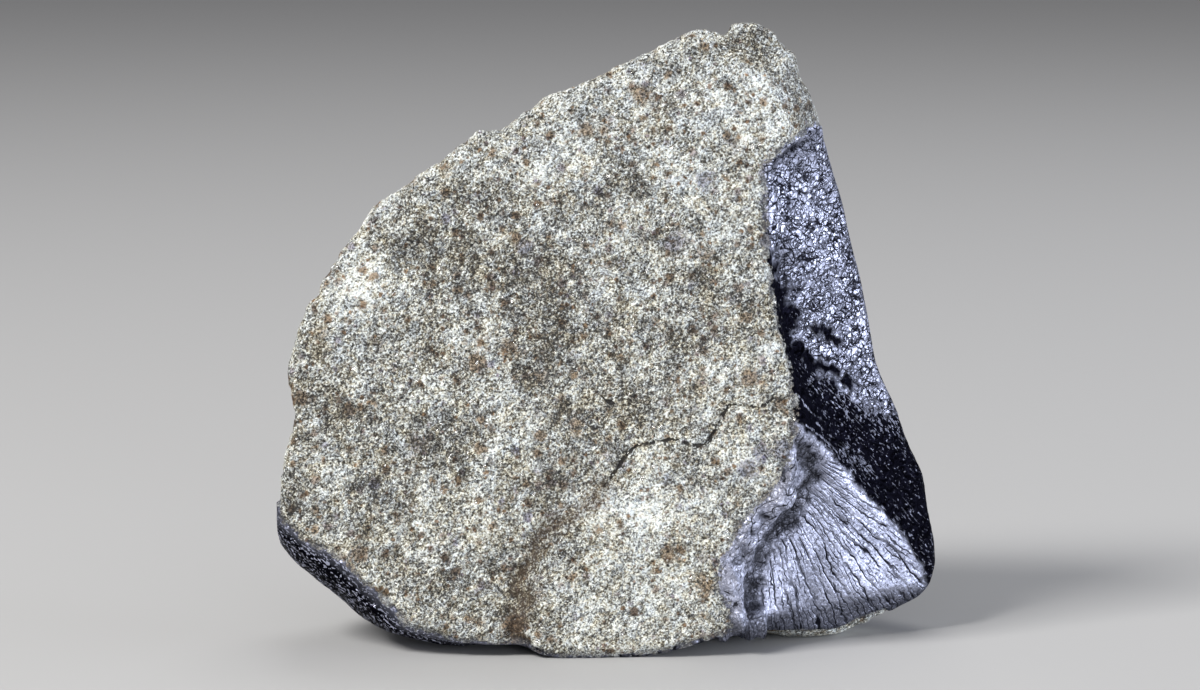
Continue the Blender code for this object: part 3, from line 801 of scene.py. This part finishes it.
def rock_group():
    """Broken rock: light and dark grains, stains and marks, the crack and a few bright flecks of metal."""
    values = ("Hollow", "Edge", *ROCK_MASKS)
    group, given, end = new_group("Broken rock", ("Place",), values, ("Tint", "Rust", "Fringe"))
    place = given["Place"]
    splintered = drawn_out(group, place, SPLINTER_TURN, SPLINTER_STRETCH)
    grains = octaves(group, splintered, GRAIN, 4)
    fine = octaves(group, place, FINE_GRAIN, 2)
    patches = octaves(group, place, PATCH, 3)
    crystal = cells(group, warped(group, splintered, 0.4, 0.2), CRYSTAL)
    pick = parts(group, crystal.outputs["Color"])
    picked = calc(group, "SUBTRACT", pick[0], 0.5)
    splinter = cells(group, warped(group, splintered, 0.9, 0.5), SPLINTER)
    splinter_picked = calc(group, "SUBTRACT", parts(group, splinter.outputs["Color"])[0], 0.5)
    crack = total(group, given["Crack Gap"], (grains, 0.75), (patches, 0.35))
    crack = fit(group, crack, 0.02, 0.12, 1.0, 0.0, eased=True)
    valley = fit(group, total(group, given["Plate Gap"], (grains, 4.0)), 0.0, 1.5, 1.0, 0.0, eased=True)

    # Tone of the grains, then their hue, which is livelier in dark grains. The tone is darkened in hollows
    # and in the valley beside the plate, which is painted shade, and along the crack, whose dark line is a
    # painted shadow.
    shade = total(
        group, 0.520, (grains, 0.86), (fine, 2.2), (patches, 1.1), (picked, 0.38), (splinter_picked, 0.08),
        (given["Tone"], 0.18), (given["Hollow"], -1.0), (crack, -1.3), (valley, -0.16),
    )
    color = color_ramp(group, shade, ROCK_TONES)
    hue = total(group, (octaves(group, warped(group, place, 3.0, 6.0), 2.2, 5), 2.6), (pick[1], 0.42), -0.21)
    liveliness = fit(group, shade, 0.15, 0.85, 2.3, 0.55)
    hue = total(group, 0.57, (hue, liveliness), (axis(group, place, "Z"), -0.0024))
    color = mix_color(group, 1.0, color, color_ramp(group, hue, HUES), "MULTIPLY")
    color = mix_color(group, 1.0, color, given["Tint"], "MULTIPLY")

    for size, least, reach_most, stops in STAINS:
        stain = cells(group, warped(group, place, 0.45 * size, 0.6 * size), size)
        chance = parts(group, stain.outputs["Color"])
        reach = fit(group, chance[0], least, 1.0, 0.0, reach_most)
        stained = total(group, reach, (stain.outputs["Distance"], -1.0), (picked, 0.22))
        stained = fit(group, stained, -0.08, 0.20)
        color = mix_color(group, stained, color, color_ramp(group, chance[1], stops), "MULTIPLY")
    for label, mark_color in MARK_COLORS.items():
        marked = fit(group, total(group, given[label], (grains, 1.6), (picked, 0.5)), 0.25, 0.65, 0.0, 0.85)
        marked = calc(group, "MULTIPLY", marked, fit(group, given[label], 0.02, 0.12))
        color = mix_color(group, marked, color, mark_color, "MULTIPLY")
    # Mixing the valley beside the plate towards rust gives it a brown streak. The darkening that comes with
    # that mix is partly painted shade.
    color = mix_color(group, calc(group, "MULTIPLY", valley, 0.25), color, given["Rust"])
    fringe = fit(group, total(group, given["Edge"], (grains, 1.5)), 0.0, 0.6, 0.6, 0.0)
    color = mix_color(group, fringe, color, given["Fringe"])

    metal = fit(group, pick[2], 0.992, 0.996)
    roughness = fit(group, pick[1], 0.70, 0.90, 0.85, 0.45)
    leaning = ((tilted(group, crystal), 0.8), (tilted(group, splinter), 0.5))
    fill(group, end, {
        "Color": mix_color(group, metal, color, METAL),
        "Roughness": mix_value(group, metal, roughness, 0.25),
        "Metallic": calc(group, "MULTIPLY", metal, 0.8),
        "Height": total(group, (grains, 0.5), (fine, 0.2), *leaning, (crack, -0.15)),
    })
    return group


# Patterns of the crust in millimetres: its folds and pits, the cells of the lip, the strips of the lobe as
# (width, sway), and the cells and long creases of the facet. Seams are the widths of their lines, as shares
# of a strip or cell, and a crease is the turn and the shift of its noise.
FOLD, SMALL_FOLD, PIT = 1.25, 0.50, 0.23
LIP_CELLS = (0.75, 1.9)
FAN_STRIPS = ((0.66, 1.3), (0.34, -1.0))
FAN_SEAMS = (0.115, 0.15)
FOIL_SQUEEZE = (1.0, 0.38, 1.0)
FOIL_CELLS = (0.40, 0.90)
FOIL_SEAMS = (0.12, 0.07)
LONG_CREASES = ((0.7, 0.0), (-0.6, 20.0), (0.2, 40.0))

# How far patterns that are drawn out along the face turn from upright: the crumpled facet and its folds, the
# specks beside the crest, the glints of the lower left facet, and the flecks in dark parts of the lobe
FOIL_TURN = 0.9
FOLD_TURN = -1.2
CREST_TURN = -0.76
LOWER_LEFT_TURN = -0.87
VALLEY_TURN = 0.35

# Specks beside the crest, as the stretch and size of their noise and the range of it in which they show
CREST_SPECKS = ((1.3, 0.30, 0.148, 0.195), (3.5, 0.40, 0.162, 0.21))

# How silvery the parts of the crust are, and how much its cells and strips differ from each other. These
# levels are painted sheen: a bright facet, lip and lobe beside a dark band, set for how each part reflects
# the light.
SILVER_FACET, SILVER_LIP, SILVER_LOBE, SILVER_BAND, SILVER_WORN = 0.565, 0.16, 0.73, 0.32, 0.16
FOIL_TONES = (0.52, 1.36)
STRIP_TONES = (0.76, 1.2)


def crust_group():
    """Melted crust: a dark glaze with a metal sheen, crumpled folds, flow lines and fine pits."""
    values = ("Hollow", "Edge", "Roughness", *CRUST_MASKS)
    group, given, end = new_group("Melted crust", ("Place", *CRUST_FLOWS), values, ("Sheen", "Black"))
    place, fan_flow = given["Place"], given["Fan Flow"]
    field = partial(centred, group)
    scaled = partial(vector_calc, group, "MULTIPLY")
    shifted = partial(vector_calc, group, "ADD")
    weaker = partial(calc, group, "MULTIPLY")
    stronger = partial(calc, group, "MAXIMUM")

    def patchy(vector, size, *limits):
        """Soft noise between a low and a high limit."""
        return fit(group, field(vector, size), *limits)

    # The crust at large: folds, and faint flow lines on the back
    large = field(warped(group, place, 1.6, 1.0), FOLD)
    small = field(place, SMALL_FOLD)
    back = field(scaled(given["Back Flow"], (9.0, 9.0, 0.16)), 1.0)
    pits = fit(group, field(place, PIT, 0.0), 0.12, 0.22, 0.0, 1.0, eased=True)
    general = stronger(groove(group, large, 0.055), weaker(groove(group, small, 0.05), 0.55))
    general = stronger(general, weaker(groove(group, back, 0.05), 0.6))
    crumple = total(group, (calc(group, "ABSOLUTE", large), 1.1), (calc(group, "ABSOLUTE", small), 0.22))

    # The facet, crumpled like foil: cells of two sizes, a fold, and long creases
    squeezed = scaled(place, FOIL_SQUEEZE)
    foil_place = drawn_out(group, warped(group, squeezed, 0.6, 0.7), FOIL_TURN, 1.25)
    foil = cells(group, foil_place, FOIL_CELLS[0])
    seam, wide_seam = (
        line(group, cells(group, foil_place, size, "DISTANCE_TO_EDGE").outputs["Distance"], width)
        for size, width in zip(FOIL_CELLS, FOIL_SEAMS)
    )
    seam = weaker(seam, patchy(squeezed, 0.9, -0.14, 0.08, 0.25, 0.9))
    seam = stronger(seam, weaker(wide_seam, patchy(squeezed, 1.2, -0.12, 0.02, 0.1, 1.0)))
    fold = field(drawn_out(group, warped(group, squeezed, 1.2, 1.0), FOLD_TURN, 1.5), 1.2, 1.5)
    foil_lines = stronger(groove(group, fold, 0.030), seam)
    for turn, shift in LONG_CREASES:
        moved = shifted(squeezed, (shift, 0.0, 0.0))
        crease = field(drawn_out(group, warped(group, moved, 1.0, 0.5), turn, 2.2), 0.8)
        crease = weaker(groove(group, crease, 0.022), patchy(moved, 1.5, -0.02, 0.06))
        foil_lines = stronger(foil_lines, crease)
    fold_height = calc(group, "ABSOLUTE", fold)
    foil_height = total(group, (fold_height, 0.08), (tilted(group, foil), 0.11), (seam, -0.04))
    foil_tone = fit(group, parts(group, foil.outputs["Color"])[1], 0.0, 1.0, *FOIL_TONES)

    # The lobe: wide and fine flow lines, which sway and break off
    across_fan = axis(group, fan_flow, "X")
    sway = field(scaled(fan_flow, (0.7, 0.24, 0.0)), 1.0)
    wiggle = field(place, 0.6)

    def strips(size, swayed, feature):
        inputs = {"W": calc(group, "DIVIDE", total(group, across_fan, (sway, swayed), (wiggle, 0.28)), size)}
        inputs["Scale"] = 1.0
        made = wire(group, "ShaderNodeTexVoronoi", inputs, feature=feature, voronoi_dimensions="1D")
        return made.outputs

    fan_wide, fan_fine = (strips(*strip, "DISTANCE_TO_EDGE")["Distance"] for strip in FAN_STRIPS)
    wide_lines, fine_lines = (line(group, *pair) for pair in zip((fan_wide, fan_fine), FAN_SEAMS))
    flow = shifted(fan_flow, scaled(place, (0.0, 0.0, 0.3)))
    broken = patchy(scaled(flow, (0.9, 0.30, 1.0)), 1.0, -0.12, 0.06, 0.2, 1.0)
    fine_broken = patchy(scaled(flow, (1.3, 0.50, 1.0)), 1.0, -0.05, 0.07, 0.05, 0.9)
    fine_broken = stronger(fine_broken, fit(group, given["Unshaded"], 0.45, 0.95, 0.8, 0.0))
    fan_lines = stronger(weaker(wide_lines, broken), weaker(fine_lines, fine_broken))
    fan_lines = stronger(fan_lines, weaker(seam, 0.30))
    strip_color = strips(*FAN_STRIPS[0], "F1")["Color"]
    strip_tone = fit(group, parts(group, strip_color)[1], 0.0, 1.0, *STRIP_TONES)
    ridges = ((calc(group, "MINIMUM", fan_wide, 0.2), 0.22), (calc(group, "MINIMUM", fan_fine, 0.2), 0.07))
    fan_height = total(group, (fan_lines, -0.03), *ridges, (small, 0.10), (tilted(group, foil), 0.12))

    # The lip: the facet's lines give way to cells that follow the edge of the crust
    lip = weaker(given["Facet"], given["Lobe"])
    rim_inputs = {"X": given["Edge"], "Y": weaker(axis(group, place, "Z"), LIP_CELLS[0] / LIP_CELLS[1])}
    rim_place = wire(group, "ShaderNodeCombineXYZ", rim_inputs).outputs[0]
    rim_place = vector_calc(group, "SUBTRACT", shifted(rim_place, warped(group, place, 0.8, 0.5)), place)
    lip_folds = wire(
        group, "ShaderNodeTexVoronoi", {"Vector": rim_place, "Scale": 1.0 / LIP_CELLS[0]},
        feature="DISTANCE_TO_EDGE", voronoi_dimensions="2D",
    ).outputs["Distance"]
    lip_lines = weaker(fit(group, lip_folds, 0.03, 0.08, 1.0, 0.0), patchy(place, 0.7, -0.12, 0.04, 0.3, 1.0))
    foil_lines = weaker(foil_lines, total(group, 1.0, (weaker(lip, given["Unshaded"]), -0.4)))
    foil_lines = stronger(foil_lines, weaker(lip_lines, lip))
    foil_height = total(group, foil_height, (weaker(calc(group, "MINIMUM", lip_folds, 0.25), lip), 0.35))

    def by_region(elsewhere, on_fan, on_facet):
        return mix_value(group, given["Facet"], mix_value(group, given["Fan"], elsewhere, on_fan), on_facet)

    lines = by_region(general, fan_lines, foil_lines)
    height = by_region(crumple, fan_height, foil_height)
    # The lines and pits darken the crust's colour: painted shade in its creases, seams, flow grooves and
    # pits, where the height also sinks.
    dark = stronger(lines, weaker(pits, total(group, 0.75, (given["Fan"], -0.20))))

    # Specks and lines of the dark band, and glints of the lower left facet
    line_gap = total(group, given["Lines"], (field(place, 0.5), 0.20))
    crest_specks = fit(group, line_gap, 0.05, 0.09, 1.4, 0.0)
    for stretch, size, low, high in CREST_SPECKS:
        speck = field(drawn_out(group, place, CREST_TURN, stretch), size, 1.5)
        speck = fit(group, total(group, speck, (given["Specks"], 0.07)), low, high)
        crest_specks = stronger(crest_specks, speck)
    glints = patchy(drawn_out(group, place, LOWER_LEFT_TURN, 1.3), 0.23, 0.088, 0.108)
    worn = fit(group, field(place, 3.0, 2.0), -0.15, 0.20)
    rim = fit(group, given["Edge"], -1.0, 0.0, 0.0, 0.30)
    speckled = total(group, given["Band"], given["Lower Left"])
    plain = calc(group, "SUBTRACT", 1.0, calc(group, "MINIMUM", speckled, 1.0))

    # How silvery each region is. Its levels, a bright facet, lip and lobe beside a black band and a black
    # lower left facet, are painted sheen set for how each part reflects the light. It is less where the crust
    # is worn, and it is darkened along its lines and pits, in hollows, in the valley and foot of the lobe and
    # at the back of the facet, which is painted shade.
    silver = total(
        group, (weaker(given["Facet"], foil_tone), SILVER_FACET), (lip, SILVER_LIP),
        (weaker(given["Lobe"], strip_tone), SILVER_LOBE), (weaker(given["Band"], crest_specks), SILVER_BAND),
        weaker(given["Lower Left"], stronger(glints, rim)),
        weaker(total(group, (worn, SILVER_WORN), rim), plain),
    )
    silver = calc(group, "MINIMUM", silver, 1.0)
    flecks = patchy(drawn_out(group, place, VALLEY_TURN, 1.5), 0.24, 0.05, 0.10, 0.0, 0.8)
    for share in (
        fit(group, worn, 0.0, 1.0, 0.8, 1.05),
        fit(group, weaker(dark, calc(group, "SUBTRACT", 1.0, speckled)), 0.0, 1.0, 1.0, 0.03),
        # Darker in hollows: painted shade.
        fit(group, given["Hollow"], 0.0, 0.12, 1.0, 0.4),
        stronger(given["Unshaded"], weaker(flecks, given["Lobe"])),
    ):
        silver = weaker(silver, share)
    dull = ((dark, 0.2), (given["Band"], 0.1), (given["Fan"], 0.08), (given["Facet"], 0.10))
    fill(group, end, {
        "Color": mix_color(group, silver, given["Black"], given["Sheen"]),
        "Roughness": total(group, given["Roughness"], *dull),
        "Metallic": total(group, 1.0, (lip, -0.5)),
        "Height": total(group, height, (pits, -0.03)),
    })
    return group


def stone_material(name, settings, rock_tree, crust_tree):
    """The finish of broken rock, of crust, or of both where they meet along a ragged edge."""
    material = bpy.data.materials.new(name)
    material.use_nodes = True
    tree = material.node_tree
    shader = tree.nodes["Principled BSDF"]
    place = vector_calc(tree, "MULTIPLY", wire(tree, "ShaderNodeTexCoord").outputs["Object"], (1.0 / MM,) * 3)

    def stored(labels, output="Fac"):
        names = {label: label.lower().replace(" ", "_") for label in labels}
        return {
            label: wire(tree, "ShaderNodeAttribute", attribute_name=attribute).outputs[output]
            for label, attribute in names.items()
        }

    def finish(group, inputs, colors):
        inputs = inputs | {label: (*color, 1.0) for label, color in colors.items()}
        return wire(tree, "ShaderNodeGroup", inputs, node_tree=group).outputs

    inputs = {"Place": place} | stored(("Hollow", "Edge"))
    if rock_tree:
        colors = {"Tint": settings.rock_tint, "Rust": settings.rust, "Fringe": settings.fringe}
        only = rock = finish(rock_tree, inputs | stored(ROCK_MASKS), colors)
    if crust_tree:
        shader.inputs["Specular Tint"].default_value = settings.crust_edge_tint * np.ones(4)
        masks = stored(CRUST_MASKS) | stored(CRUST_FLOWS, "Vector") | {"Roughness": settings.crust_roughness}
        colors = {"Sheen": settings.crust_sheen, "Black": settings.crust_black}
        only = crust = finish(crust_tree, inputs | masks, colors)

    color, roughness, metallic, height = (only[label] for label in FINISH)
    if rock_tree and crust_tree:
        ragged = centred(tree, place, 0.7, 3.0, 0.65)
        on_rock = fit(tree, total(tree, inputs["Edge"], (ragged, 1.8)), -0.06, 0.06)
        color = mix_color(tree, on_rock, crust["Color"], rock["Color"])
        roughness, metallic, height = (
            mix_value(tree, on_rock, crust[label], rock[label]) for label in FINISH[1:]
        )
    bump = wire(tree, "ShaderNodeBump", {"Height": height, "Distance": MM, "Strength": 1.0}).outputs["Normal"]
    fill(tree, shader, {"Base Color": color, "Roughness": roughness, "Metallic": metallic, "Normal": bump})
    return material


def finish_stone(stone, settings):
    """Rock and crust each get their own finish, and a narrow strip along their edge gets both."""
    rock_tree, crust_tree = rock_group(), crust_group()
    for name, trees in (
        ("broken_rock", (rock_tree, None)),
        ("melted_crust", (None, crust_tree)),
        ("edge_of_crust", (rock_tree, crust_tree)),
    ):
        stone.data.materials.append(stone_material(name, settings, *trees))
    edge = Surface(stone.data).stored("edge")
    for face in stone.data.polygons:
        gaps = edge[list(face.vertices)]
        face.material_index = 0 if gaps.min() > EDGE_STRIP else 1 if gaps.max() < -EDGE_STRIP else 2


class MeteoriteStone(bpy.types.PropertyGroup):
    detail: bpy.props.FloatProperty(
        name="Detail", description="Size of the smallest faces of the stone", default=0.20 * MM,
        unit="LENGTH", precision=5,
    )
    relief: bpy.props.FloatProperty(
        name="Relief", description="How strongly grains, lumps and wrinkles stand out", default=1.0, min=0.0
    )
    most_triangles: bpy.props.IntProperty(
        name="Most triangles", description="Triangles that the finished stone may have", default=192000
    )
    rock_tint: bpy.props.FloatVectorProperty(
        name="Rock tint", description="Tint of all the grains of the broken rock", default=(1.0, 1.0, 1.0),
        subtype="COLOR",
    )
    rust: bpy.props.FloatVectorProperty(
        name="Rust", description="Colour of the rusty spots", default=(0.15, 0.095, 0.055), subtype="COLOR"
    )
    fringe: bpy.props.FloatVectorProperty(
        name="Fringe", description="Colour of the scorched rock beside the crust",
        default=(0.12, 0.122, 0.14), subtype="COLOR",
    )
    crust_sheen: bpy.props.FloatVectorProperty(
        name="Crust sheen", description="Colour of the crust's metal sheen", default=(0.575, 0.60, 0.75),
        subtype="COLOR",
    )
    crust_black: bpy.props.FloatVectorProperty(
        name="Crust black", description="Colour of the darkest crust", default=(0.0035, 0.0035, 0.0065),
        subtype="COLOR",
    )
    crust_roughness: bpy.props.FloatProperty(
        name="Crust roughness", description="How dull the crust is where it is smoothest", default=0.36,
        min=0.0, max=1.0, subtype="FACTOR",
    )
    crust_edge_tint: bpy.props.FloatProperty(
        name="Crust rim light", description="How bright the crust is where it is seen edge on", default=0.5,
        min=0.0, max=1.0, subtype="FACTOR",
    )


class MeteoriteStage(bpy.types.PropertyGroup):
    floor_color: bpy.props.FloatVectorProperty(
        name="Floor", description="Colour of the floor", default=(0.42, 0.42, 0.42), subtype="COLOR"
    )
    sky: bpy.props.FloatVectorProperty(
        name="Surroundings", description="Light from all round", default=(0.20, 0.20, 0.21), subtype="COLOR"
    )
    lens: bpy.props.FloatProperty(
        name="Lens", description="Focal length of the camera", default=135.0,
        subtype="DISTANCE_CAMERA", unit="CAMERA",
    )


# Where the lights point, the size of the floor and how far it lies below the stone, how dull it is, and the
# nearest that the camera sees
AIM = (0.0, 0.0, 0.025)
FLOOR_SIZE = 6.0
FLOOR_DROP = 0.02
FLOOR_ROUGHNESS = 0.7
CLIP_START = 0.01

# Soft boxes: place, width and height in metres, brightness, colour
SOFT_BOXES = [
    ("key", (-0.45, -0.32, 0.55), 0.26, 0.26, 34.5, (1.0, 0.98, 0.95)),
    ("right_sheen", (0.50, 0.02, 0.075), 0.70, 0.13, 11.0, (0.84, 0.89, 1.0)),
    ("front_sheen", (0.28, -0.60, 0.09), 0.34, 0.20, 7.5, (0.84, 0.89, 1.0)),
    ("top", (0.05, 0.30, 0.62), 0.45, 0.30, 3.0, (1.0, 1.0, 1.0)),
    ("front_fill", (0.05, -0.80, 0.25), 0.50, 0.30, 1.5, (1.0, 1.0, 1.0)),
]


def soft_box(name, place, width, height, brightness, color):
    """An area light that looks at the middle of the stone. Its brightness doesn't depend on its size."""
    bpy.ops.object.light_add(type="AREA", location=place)
    light = bpy.context.object
    light.name = name
    light.data.shape = "RECTANGLE"
    light.data.size = width
    light.data.size_y = height
    light.data.energy = brightness * math.pi * width * height
    light.data.color = color
    light.visible_camera = False
    light.rotation_euler = (Vector(AIM) - Vector(place)).to_track_quat("-Z", "Y").to_euler()


class METEORITE_OT_stone(bpy.types.Operator):
    """Shape the stone's fine surface over its plain solid and give it its finish"""

    bl_idname = "meteorite.stone"
    bl_label = "Stone"

    def execute(self, context):
        settings = context.scene.meteorite_stone
        stone = shape_stone(settings)
        finish_stone(stone, settings)
        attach(stone, "root")
        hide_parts(NODE)
        return {"FINISHED"}


class METEORITE_OT_stage(bpy.types.Operator):
    """Set up the floor, the soft light and the camera"""

    bl_idname = "meteorite.stage"
    bl_label = "Stage"

    def execute(self, context):
        settings = context.scene.meteorite_stage
        bpy.ops.mesh.primitive_plane_add(size=FLOOR_SIZE, location=(0.0, 0.0, -FLOOR_DROP * MM))
        floor = context.object
        floor.name = "floor"
        material = bpy.data.materials.new("pale_floor")
        material.use_nodes = True
        shader = material.node_tree.nodes["Principled BSDF"]
        shader.inputs["Base Color"].default_value = (*settings.floor_color, 1.0)
        shader.inputs["Roughness"].default_value = FLOOR_ROUGHNESS
        floor.data.materials.append(material)

        for box in SOFT_BOXES:
            soft_box(*box)
        world = bpy.data.worlds.new("surroundings")
        world.use_nodes = True
        world.node_tree.nodes["Background"].inputs["Color"].default_value = (*settings.sky, 1.0)
        context.scene.world = world
        context.scene.view_settings.view_transform = "Standard"

        width = PICTURE_WIDTH / PIXELS_PER_MM
        bpy.ops.object.camera_add()
        camera = context.object
        camera.data.lens = settings.lens
        distance = width * settings.lens / camera.data.sensor_width
        x, height = PICTURE_MIDDLE
        camera.location = from_face_frame(x, FACE_DEPTH - distance, height)
        camera.rotation_euler = (math.radians(90.0 - LEAN_DEG), 0.0, 0.0)
        camera.data.clip_start = CLIP_START
        context.scene.camera = camera
        return {"FINISHED"}


class METEORITE_PT_panel(bpy.types.Panel):
    """Sizes, colours and buttons of the fragment"""

    bl_idname = "METEORITE_PT_panel"
    bl_label = "Meteorite"
    bl_space_type = "VIEW_3D"
    bl_region_type = "UI"
    bl_category = "Meteorite"

    def draw(self, context):
        layout = self.layout
        for settings, button in (
            (context.scene.meteorite_stone, METEORITE_OT_stone.bl_idname),
            (context.scene.meteorite_stage, METEORITE_OT_stage.bl_idname),
        ):
            for name in settings.bl_rna.properties.keys():
                if name not in ("rna_type", "name"):
                    layout.prop(settings, name)
            layout.operator(button)


CLASSES = (MeteoriteStone, MeteoriteStage, METEORITE_OT_stone, METEORITE_OT_stage, METEORITE_PT_panel)


def register():
    for item in CLASSES:
        bpy.utils.register_class(item)
    bpy.types.Scene.meteorite_stone = bpy.props.PointerProperty(type=MeteoriteStone)
    bpy.types.Scene.meteorite_stage = bpy.props.PointerProperty(type=MeteoriteStage)


def unregister():
    del bpy.types.Scene.meteorite_stage
    del bpy.types.Scene.meteorite_stone
    for item in reversed(CLASSES):
        bpy.utils.unregister_class(item)


def main():
    register()
    bpy.ops.meteorite.stone()
    bpy.ops.meteorite.stage()


if __name__ == "__main__":
    main()
